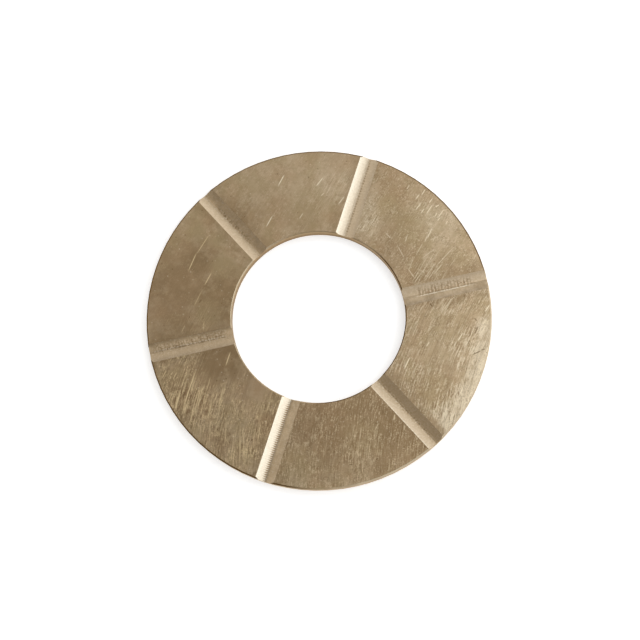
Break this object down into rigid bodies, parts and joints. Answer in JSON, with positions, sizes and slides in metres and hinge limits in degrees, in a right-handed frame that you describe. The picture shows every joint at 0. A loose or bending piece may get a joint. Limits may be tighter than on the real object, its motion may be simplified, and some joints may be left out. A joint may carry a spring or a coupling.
{
  "type": "thrust washer",
  "caption": "Flat bronze ring with a plain bore and radial V-shaped oil grooves across one face, for taking end thrust between a turning shoulder and a fixed face.",
  "frame": {"origin": "centre of the bore on the plain back face, which the washer lies on", "axes": "+Z along the bore's axis, out of the grooved face; +X along the middle of one groove"},
  "size_m": [0.1, 0.1, 0.004],
  "materials": {
    "bronze": "faced and rubbed flat bronze, with hand scratches on the faces and milled flanks in the grooves"
  },
  "bodies": {
    "root": {"thrust_washer": "bronze"}
  },
  "joints": []
}
